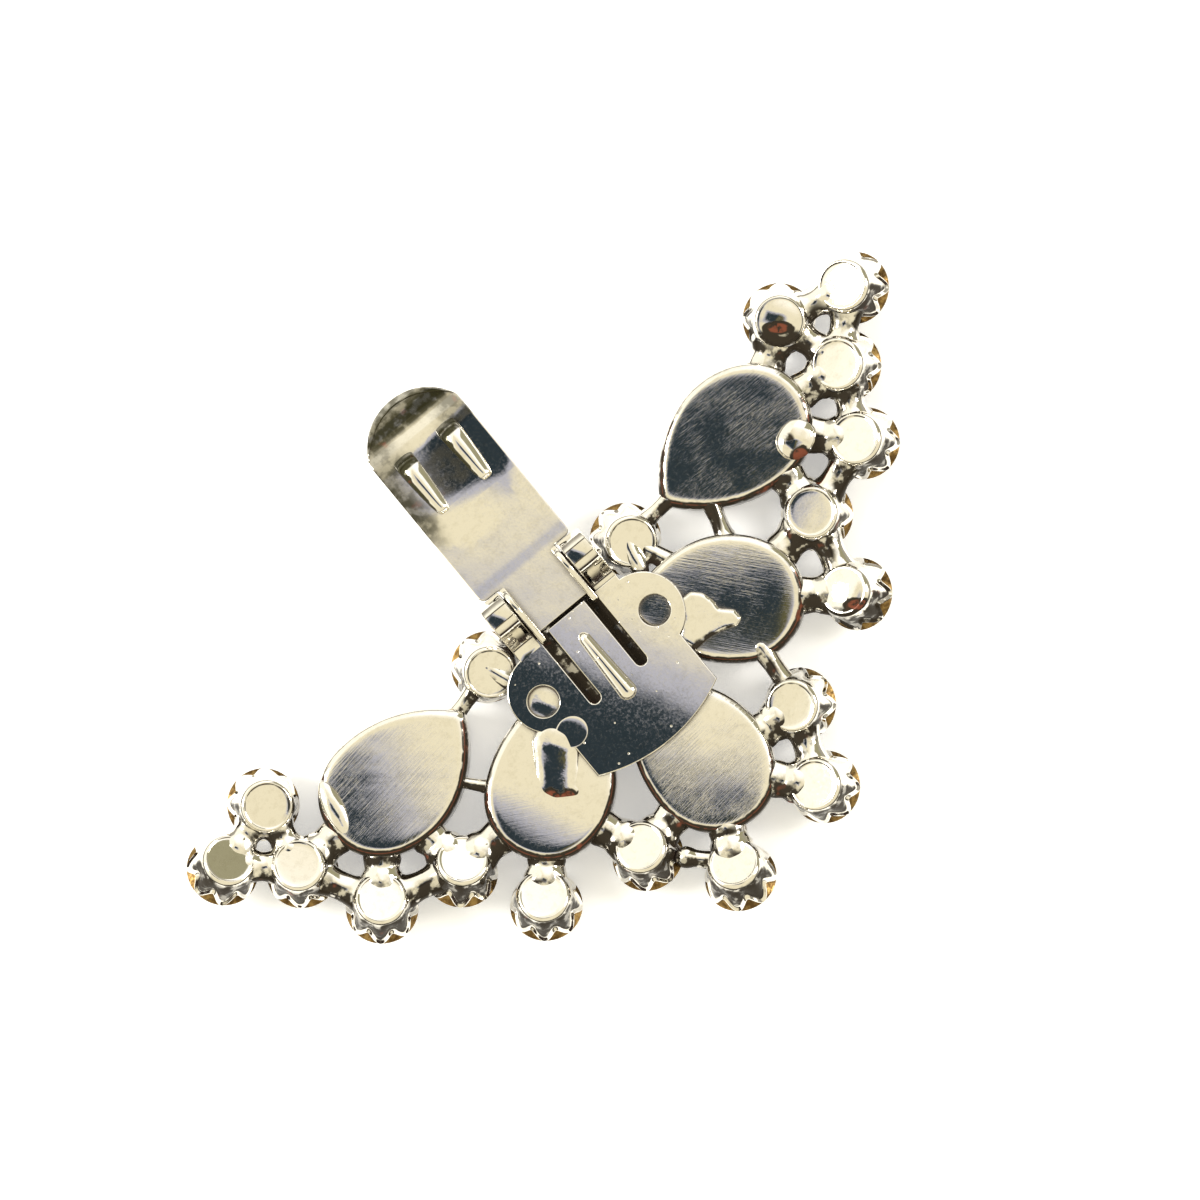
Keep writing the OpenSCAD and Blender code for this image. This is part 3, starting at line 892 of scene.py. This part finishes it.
def sheet_piece(name, outlines, thickness, rounding=0.08):
    """A flat sheet with rounded edges on z = 0 to thickness: its outline, then its holes."""
    flat = bpy.data.curves.new(name, "CURVE")
    flat.dimensions = "2D"
    flat.fill_mode = "BOTH"
    flat.extrude = thickness / 2 - rounding
    flat.bevel_depth = rounding
    flat.bevel_resolution = 2
    flat.offset = -rounding
    for points in outlines:
        spline = flat.splines.new("POLY")
        spline.points.add(len(points) - 1)
        for point, (x, y) in zip(spline.points, points):
            point.co = (x, y, 0, 1)
        spline.use_cyclic_u = True
    piece = bpy.data.objects.new(name, flat)
    bpy.context.scene.collection.objects.link(piece)
    piece.location.z = thickness / 2
    select_only(piece)
    bpy.ops.object.convert(target="MESH")
    apply_place(piece)
    tidy(piece)
    return named(name)


# Turns a sheet drawn flat as (y, z) into a side plate that stands along X
SIDEWAYS = Matrix(((0, 0, 1, 0), (1, 0, 0, 0), (0, 1, 0, 0), (0, 0, 0, 1)))


def side_plate(name, outlines, x, thickness, rounding):
    """A sheet that stands upright along the lever, from x on."""
    plate = sheet_piece(name, outlines, thickness, rounding)
    plate.matrix_world = Matrix.Translation((x, 0, 0)) @ SIDEWAYS
    apply_place(plate)
    return plate


def cut(at, way):
    """Cuts the sheet that is being edited, at a place along a direction."""
    select_all()
    bpy.ops.mesh.bisect(plane_co=at * Vector(way), plane_no=way)


def cut_rows(piece, way, step):
    """Cuts rows across a sheet, so that it can bend smoothly."""
    edit(piece)
    places = [v.co.dot(Vector(way)) for v in bmesh.from_edit_mesh(piece.data).verts]
    at = min(places) + step
    while at < max(places):
        cut(at, way)
        at += step
    object_mode()


# Sizes from the hinge line, which lies HINGE_H above the plate; the plate reaches to -Y
HINGE_H = 1.15
PLATE_T = 0.5
PLATE_MIDDLE_Y = -8.5
PLATE_CROWN = 0.22
PLATE_SINK = 0.1
LOBE = (4.6, -6.5)
LOBE_R = 3.15
PLATE_HALF_W = 5.75
PLATE_L = 15.1
BOW_R = 13.1
HOLE = (5.4, -6.83)
HOLE_R = 1.2
SLOT_X = 2.25
SLOT_W = 0.95
SLOT_END = -9.5
TONGUE_END = -2.88
PLATE_EDGE_Y = -2.9
PLATE_LEAN = 1.1
# The flat spot of solder on the plate's left lobe: its place and its half sizes
PLATE_SPOT = (-5.2, -9.95, PLATE_T)
PLATE_SPOT_HALF = (1.25, 1.15, 0.03)
KNUCKLE_X = 3.85
KNUCKLE_W = 2.0
KNUCKLE_R = 1.6
BORE_R = 1.0


def plate_outline():
    """The plate's outline: tongue between its slots, two lobes and a bowed far edge."""
    slot_r = SLOT_W / 2
    past_lobe = 0.25
    shoulder = LOBE[0] + past_lobe
    lobe_from = math.degrees(math.acos(past_lobe / LOBE_R))
    lobe_to = -math.degrees(math.acos((PLATE_HALF_W - LOBE[0]) / LOBE_R))
    bow_y = BOW_R - PLATE_L
    bow_half = math.degrees(math.asin(PLATE_HALF_W / BOW_R))
    half = [(SLOT_X - slot_r, TONGUE_END)]
    half += arc((SLOT_X, SLOT_END + slot_r), slot_r, 180, 360, 10)
    half += [(SLOT_X + slot_r, PLATE_EDGE_Y), (shoulder, PLATE_EDGE_Y)]
    half += arc(LOBE, LOBE_R, lobe_from, lobe_to, 24)
    half += arc((0, bow_y), BOW_R, -90 + bow_half, -90, 14)[:-1]
    return mirrored(half)


def model_clip_plate():
    """The clip's base plate with its two holes, crowned and slightly leaning."""
    holes = [arc((side * HOLE[0], HOLE[1]), HOLE_R, 0, 360, 40)[:-1] for side in (-1, 1)]
    bpy.ops.mesh.primitive_uv_sphere_add(segments=32, ring_count=16, radius=1,
                                         location=PLATE_SPOT, scale=PLATE_SPOT_HALF)
    spot = named("plate_spot")
    apply_place(spot)
    plate = sheet_piece("clip_plate", [plate_outline(), *holes], PLATE_T)
    cut_rows(plate, (1, 0, 0), 0.62)
    cut_rows(plate, (0, 1, 0), 0.61)
    plate = join([plate, spot], "clip_plate")
    edit(plate)
    pick(plate, lambda p: (p - Vector((0, PLATE_MIDDLE_Y, p.z))).length < 0.6)
    swell(PLATE_CROWN, 9)
    select_all()
    move(0, 0, -HINGE_H - PLATE_T - PLATE_SINK)
    object_mode()
    below_all = -10
    middle = (0, PLATE_MIDDLE_Y, -HINGE_H)
    lean_back(plate, below_all, middle, Vector((-1, 0, 0)), PLATE_LEAN)
    return plate


def model_rib():
    """The stiffening rib pressed up out of the tongue, narrower towards the hinge."""
    rib_r = 0.72
    straight = 4.9
    far_end_y = -10.2
    sunk = 0.12
    wide = 1.1
    narrow = 0.72
    flat = 0.8
    bpy.ops.mesh.primitive_uv_sphere_add(segments=32, ring_count=16, radius=rib_r)
    rib = named("tongue_rib")
    edit(rib)
    pick(rib, lambda p: p.y > 0.01)
    move(0, straight, 0)
    pick(rib, lambda p: p.y < straight / 2)
    resize(wide, 1, flat)
    pick(rib, lambda p: p.y > straight / 2)
    resize(narrow, 1, flat)
    select_all()
    move(0, far_end_y, -HINGE_H - sunk)
    object_mode()
    return rib


# Rows are the angle round the hinge from straight up and the radius of the rolled
# sheet's outer face there, from the flank over the top
KNUCKLE_BENDS = [(-55, 1.60), (-40, 1.58), (-22, 1.60), (-20, 1.52), (-18, 1.60), (0, 1.56),
                 (17, 1.60), (19, 1.50), (21, 1.60), (38, 1.58), (56, 1.60)]


def model_knuckle(name, side):
    """A knuckle, a strip of the plate rolled up round the hinge."""
    foot_z = -HINGE_H - PLATE_T + 0.05
    rolled = KNUCKLE_BENDS + [(angle, KNUCKLE_R) for angle in range(66, 200, 10)]
    outer = [(-3.5, foot_z), (-3.5, -HINGE_H - 0.02), (-2.85, -HINGE_H), (-2.5, -0.85),
             (-1.62, 0.4)]
    outer += [(r * math.sin(math.radians(a)), r * math.cos(math.radians(a))) for a, r in rolled]
    outer += [(-1.0, foot_z)]
    bore = arc((0, 0), BORE_R, 0, 360, 36)[:-1]
    return side_plate(name, [outer, bore], side * KNUCKLE_X - KNUCKLE_W / 2, KNUCKLE_W, 0.1)


# The blade reaches to +Y, and its upper face lies LEVER_DROP below the hinge line
LEVER_DROP = 0.85
LEVER_T = 0.5
LEVER_HALF_W = 4.275
LEVER_L = 17.8
LEVER_END_R = 4.63
# How much longer the blade is cut than it reaches, since its bends take some of it
BENT_AWAY = 0.2
FOOT_HALF_W = 2.6
FOOT_L = 2.65
SHOULDER_Y = 1.72
TOOTH_X = 2.02

# Rows are where the blade bends, over what length, and by how many degrees
BLADE_BENDS = [
    (1.9, 0.4, 1.5),
    (2.6, 0.5, -1.5),
    (8.0, 1.6, 4.7),
    (13.6, 1.2, -15.0),
    (15.3, 0.9, 14.0),
    (16.7, 0.8, -18.0),
]
# The rim on the lever's end: how far its inner arc is set back, and its thickness
END_RIM_SHIFT = 1.0
END_RIM_T = 0.16


def blade_outline():
    """The lever's flat outline: narrow foot, shoulders and a rounded end."""
    end_y = LEVER_L + BENT_AWAY - LEVER_END_R
    end_from = math.degrees(math.acos(LEVER_HALF_W / LEVER_END_R))
    inner_r = 0.3
    outer_r = 0.5
    half = [(FOOT_HALF_W, -FOOT_L), (FOOT_HALF_W, SHOULDER_Y - inner_r)]
    half += arc((FOOT_HALF_W + inner_r, SHOULDER_Y - inner_r), inner_r, 180, 90, 4)[1:]
    half += arc((LEVER_HALF_W - outer_r, SHOULDER_Y + outer_r), outer_r, -90, 0, 6)
    half += arc((0, end_y), LEVER_END_R, end_from, 90, 22)[:-1]
    return half + [(0, LEVER_L + BENT_AWAY)] + [(-x, y) for x, y in reversed(half)]


def end_rim_outline():
    """The thickened rim that follows the lever's rounded end, thinning to nothing."""
    end_y = LEVER_L + BENT_AWAY - LEVER_END_R
    outer_r = LEVER_END_R - 0.06
    start = 24
    end_x = outer_r * math.cos(math.radians(start))
    rise = outer_r * math.sin(math.radians(start)) + END_RIM_SHIFT
    inner_start = math.degrees(math.atan2(rise, end_x))
    outer = arc((0, end_y), outer_r, start, 180 - start, 44)
    inner = arc((0, end_y - END_RIM_SHIFT), math.hypot(rise, end_x), 180 - inner_start,
                inner_start, 44)
    return outer + inner[1:-1]


def tooth_hole(side):
    """The hole that a tooth was punched from, all but hidden under the tooth."""
    x = side * TOOTH_X
    return [(x - 0.55, 12.9), (x - 0.6, 12.4), (x - 0.36, 9.3), (x - 0.2, 9.0),
            (x + 0.2, 9.0), (x + 0.36, 9.3), (x + 0.6, 12.4), (x + 0.55, 12.9)]


def bend_blade(blade):
    """Bends the blade across its length, from its end back to its foot."""
    steps = 4
    edit(blade)
    for start, length, angle in reversed(BLADE_BENDS):
        for i in reversed(range(steps)):
            fold_y = start + length * (i + 0.5) / steps
            cut(fold_y, (0, 1, 0))
            pick(blade, lambda p: p.y > fold_y + 0.001)
            bpy.ops.transform.rotate(value=-math.radians(angle / steps), orient_axis="X",
                                     center_override=(0, fold_y, LEVER_T / 2))
    object_mode()


def blade_tarnish_and_shade(point):
    """Darker along the left side, with painted shade between the teeth, across the blade at
    their roots and most at the end.
    """
    left = share_of(point.x, -2.0, -3.4) * share_of(point.y, 5.0, 8.6)
    at_side = min(1, abs(point.x) / 2.6)
    between = 0.44 * share_of(point.y, 8.8, 9.8) * share_of(point.y, 13.4, 12.8)
    between *= share_of(abs(point.x), 2.2, 1.5)
    middle = (0.16 + 0.34 * at_side ** 2) * share_of(point.y, 12.9, 13.5)
    end = 0.6 * share_of(point.y, 15.1, 15.7)
    return max(0.54 * left, between, middle, end)


def model_blade():
    """The lever's blade, with its punched holes, bent to its side view."""
    blade = sheet_piece("lever_blade", [blade_outline(), tooth_hole(-1), tooth_hole(1)], LEVER_T)
    cut_rows(blade, (0, 1, 0), 0.6)
    cut_rows(blade, (1, 0, 0), 0.6)
    rim = sheet_piece("end_rim", [end_rim_outline()], END_RIM_T, 0.06)
    edit(rim, pick_all=True)
    move(0, 0, LEVER_T - END_RIM_T / 3)
    blade = join([blade, rim], "lever_blade")
    bend_blade(blade)
    edit(blade)
    pick(blade, lambda p: abs(p.x) < 0.35 and 9.5 < p.y < 17)
    swell(-0.09, 4.2)
    select_all()
    move(0, 0, -LEVER_DROP - LEVER_T)
    object_mode()
    paint_tarnish_and_shade(blade, blade_tarnish_and_shade)
    return blade


# Rows are the place along the lever, the height and half the width of a tooth
TOOTH_ROWS = [
    (14.1, -0.95, 0.86),
    (13.8, -0.50, 0.88),
    (13.5, 0.08, 0.88),
    (13.0, 0.44, 0.86),
    (12.3, 0.52, 0.82),
    (11.2, 0.54, 0.74),
    (10.1, 0.53, 0.64),
    (9.3, 0.53, 0.54),
    (8.85, 0.47, 0.36),
]


def tooth_painted_shade(point):
    """Painted shade: darker at the root and along the left edge."""
    if point.y > 12.9:
        return 0.8
    return 0.7 if point.x < -0.45 else 0.0


def model_tooth():
    """One claw tooth, rounded across, bent up from the blade and back towards the hinge."""
    bpy.ops.mesh.primitive_grid_add(x_subdivisions=4, y_subdivisions=len(TOOTH_ROWS) - 1, size=2)
    tooth = named("lever_tooth")
    along = sorted({round(v.co.y, 3) for v in tooth.data.vertices}, reverse=True)
    # Rows that are done wait out of the way, so that no later row picks them
    out_of_the_way = 100
    edit(tooth)
    for row_y, (y, z, half_w) in zip(along, TOOTH_ROWS):
        pick(tooth, lambda p: abs(p.y - row_y) < 0.001)
        resize(half_w, 1, 1)
        move(0, y - row_y + out_of_the_way, z)
    select_all()
    move(0, -out_of_the_way, 0)
    for widest, rise in ((0.01, 0.10), (0.5, 0.20)):
        pick(tooth, lambda p: abs(p.x) < widest)
        move(0, 0, rise)
    select_all()
    bpy.ops.mesh.normals_make_consistent(inside=False)
    object_mode()
    apply_modifier(tooth, "SOLIDIFY", thickness=0.3, offset=0)
    apply_modifier(tooth, "SUBSURF", levels=2, render_levels=2)
    paint_tarnish_and_shade(tooth, tooth_painted_shade)
    return tooth


CHEEK_T = 0.47
CHEEK_X = 2.72
LUG_X = 3.41
LUG_R = BORE_R - 0.05
LUG_L = KNUCKLE_W + 0.2


def model_cheek(name, side):
    """A cheek bent up from the lever's foot beside a knuckle."""
    outline = [(-3.55, -1.25), (-3.4, -0.6), (-2.2, 0.1), (-1.15, 1.05), (-0.5, 1.28),
               (0.5, 1.28), (1.15, 1.0), (1.6, 0.1), (1.65, -1.25)]
    x = side * (CHEEK_X - CHEEK_T / 2) - CHEEK_T / 2
    return side_plate(name, [outline], x, CHEEK_T, 0.12)


def model_lug(name, side):
    """A hinge lug with rounded edges."""
    bpy.ops.mesh.primitive_cylinder_add(vertices=40, radius=LUG_R, depth=LUG_L,
                                        location=(side * LUG_X, 0, 0),
                                        rotation=(0, math.pi / 2, 0))
    lug = named(name)
    apply_place(lug)
    apply_modifier(lug, "BEVEL", width=0.14, segments=3, limit_method="ANGLE")
    return lug


# The surroundings


# The floor's width in metres
FLOOR_SIZE = 3
# Rows are a light's place and size in metres, its watts and its colour
SOFT_LIGHTS = [
    ((-0.5, 0.55, 0.7), 0.35, 6.0, (1.0, 0.98, 0.94)),
    ((0.68, -0.37, 0.63), 0.3, 4.0, (1.0, 0.97, 0.9)),
]


def add_floor():
    bpy.ops.mesh.primitive_plane_add(size=FLOOR_SIZE)
    floor = named("floor")
    floor.data.materials.append(pale_floor())


def add_lights():
    """Two broad soft lights high above the table."""
    for number, (spot, size, power, colour) in enumerate(SOFT_LIGHTS, 1):
        bpy.ops.object.light_add(type="AREA", location=spot)
        light = bpy.context.object
        light.name = f"soft_light_{number}"
        light.rotation_euler = (-Vector(spot)).to_track_quat("-Z", "Y").to_euler()
        light.data.size = size
        light.data.energy = power
        light.data.color = colour


def add_surroundings():
    """A pale warm studio: a slate-grey screen overhead and a dark skirting round the table."""
    world = bpy.data.worlds.new("studio")
    bpy.context.scene.world = world
    studio = Nodes(world)
    way = studio.node("TexCoord").outputs["Generated"]

    def card(top, bottom, right, left):
        """A card in the sky, each side given as where it starts and where it is full."""
        high = studio.times(studio.ramp(away, *top), studio.ramp(away, *bottom))
        wide = studio.times(studio.ramp(across, *right), studio.ramp(across, *left))
        return studio.times(high, wide)

    screen_turn = math.radians(24)
    across_way = VIEW_RIGHT * math.cos(screen_turn) - VIEW_UP * math.sin(screen_turn)
    away_way = VIEW_RIGHT * math.sin(screen_turn) + VIEW_UP * math.cos(screen_turn)
    across = studio.along(way, across_way)
    away = studio.along(way, away_way)
    overhead = studio.mix(studio.ramp(away, 0.10, 0.60), (1.0, 0.92, 0.69), (1.5, 1.47, 1.42))
    sky = studio.mix(studio.ramp(across, -0.36, -0.48), overhead, (1.32, 1.28, 1.12))
    grey = card((0.045, 0.000), (-0.34, -0.27), (0.26, 0.17), (-0.33, -0.26))
    slate = card((-0.006, -0.036), (-0.28, -0.20), (0.20, 0.12), (-0.29, -0.22))
    screen = studio.mix(studio.ramp(across, 0.05, 0.11), (0.030, 0.044, 0.055),
                        (0.135, 0.125, 0.062))
    olive = studio.times(studio.ramp(across, 0.02, 0.08), studio.ramp(away, 0.52, 0.60))
    with_olive = studio.mix(olive, sky, (0.40, 0.375, 0.24))
    with_grey = studio.mix(grey, with_olive, (0.56, 0.565, 0.66))
    with_slate = studio.mix(slate, with_grey, screen)
    skirting = studio.mix(studio.ramp(away, 0.45, -0.10), (0.45, 0.42, 0.36),
                          (0.045, 0.032, 0.026))
    low = studio.ramp(studio.along(way, (0, 0, 1)), 0.34, 0.16)
    studio.feed(studio.tree.nodes["Background"],
                {"Color": studio.mix(low, with_slate, skirting), "Strength": 1.0})


# Putting it together


def finish_piece(piece, material, body, stands_for):
    piece.data.materials.clear()
    piece.data.materials.append(material)
    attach(piece, body)
    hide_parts(stands_for)


def brushing(angle, depth):
    """Brushing along an angle of the photograph, turned to the frame."""
    frame_turn = math.atan2(VIEW_RIGHT.y, VIEW_RIGHT.x)
    return -frame_turn - math.radians(angle), depth


def build_round_cups(cups):
    cup_metal = plated_metal("cup_plating", grain=0.6, brushing=brushing(-15, 0.25))
    foil_gold = bronze_foil()
    pattern = model_round_cup()
    liner = model_foil_liner()
    for number, cup in enumerate(cups, 1):
        piece = copy_of(pattern, f"round_cup_{number:02d}")
        if number in DOMED_BACKS:
            bulge_back(piece, DOMED_BACKS[number])
            paint_dome_shade_and_rust(piece, cup.to_3x3().inverted())
        place(piece, cup)
        finish_piece(piece, cup_metal, "ornament", "soldered_frame")
        foil = place(copy_of(liner, f"foil_liner_{number:02d}"), cup)
        foil.data.materials.append(foil_gold)
        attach(foil, "ornament")
    bpy.data.objects.remove(pattern)
    bpy.data.objects.remove(liner)


def build_ornament():
    solder_metal = plated_metal("solder_silver", grain=1.5, least_tarnish_and_shade=0.3)
    cups = [cup_place(number) for number in range(1, ROUND_CUPS + 1)]
    pears = [pear_place(number) for number in range(1, len(PEAR_BACKS) + 1)]
    build_round_cups(cups)
    for number, pear in enumerate(pears, 1):
        angle, depth = PEAR_BACKS[number - 1][-2:]
        pear_metal = plated_metal(f"brushed_plating_{number}", grain=0.2,
                                  brushing=brushing(angle, depth))
        piece = place(model_pear_cup(number, pear), pear)
        finish_piece(piece, pear_metal, "ornament", "soldered_frame")
    # The bed's metal, whose darkening is painted shade
    shaded_bed_metal = plated_metal("shaded_bed_solder", grain=1.5)
    for piece, metal in ((solder_necks(cups, pears), solder_metal),
                         (solder_pools(), solder_metal),
                         (shaded_solder_bed(), shaded_bed_metal)):
        place(piece, Matrix.Identity(4), smooth=180)
        finish_piece(piece, metal, "ornament", "soldered_frame")


def build_clip():
    plate_metal = plated_metal("plate_plating", grain=0.3, specks=0.6)
    clip_metal = plated_metal("clip_plating", grain=0.3, least_tarnish_and_shade=0.75, least_side_shade=0.7,
                              tarnish_and_shade=OLIVE_TARNISH_AND_SHADE)
    clip = clip_place()
    plate = model_clip_plate()
    place_sheet(plate, clip)
    finish_piece(plate, plate_metal, "ornament", "soldered_frame")
    for piece in (model_rib(), model_knuckle("knuckle_left", -1),
                  model_knuckle("knuckle_right", 1)):
        place(piece, clip)
        finish_piece(piece, plate_metal, "ornament", "soldered_frame")
    tooth = model_tooth()
    blade = model_blade()
    place_sheet(blade, clip)
    finish_piece(blade, clip_metal, "lever", "clip_lever")
    lever = []
    for side, name in ((-1, "left"), (1, "right")):
        piece = copy_of(tooth, f"lever_tooth_{name}")
        piece.location.x = side * TOOTH_X
        apply_place(piece)
        lever += [piece, model_cheek(f"lever_cheek_{name}", side),
                  model_lug(f"hinge_lug_{name}", side)]
    bpy.data.objects.remove(tooth)
    for piece in lever:
        place(piece, clip)
        finish_piece(piece, clip_metal, "lever", "clip_lever")


def dress_stones():
    crystal = foiled_crystal()
    for name, node in frame["nodes"].items():
        if "stone" in name:
            node.data.materials.clear()
            node.data.materials.append(crystal)


add_camera()
add_surroundings()
add_floor()
add_lights()
dress_stones()
build_ornament()
build_clip()
bpy.context.scene.view_settings.view_transform = "Standard"
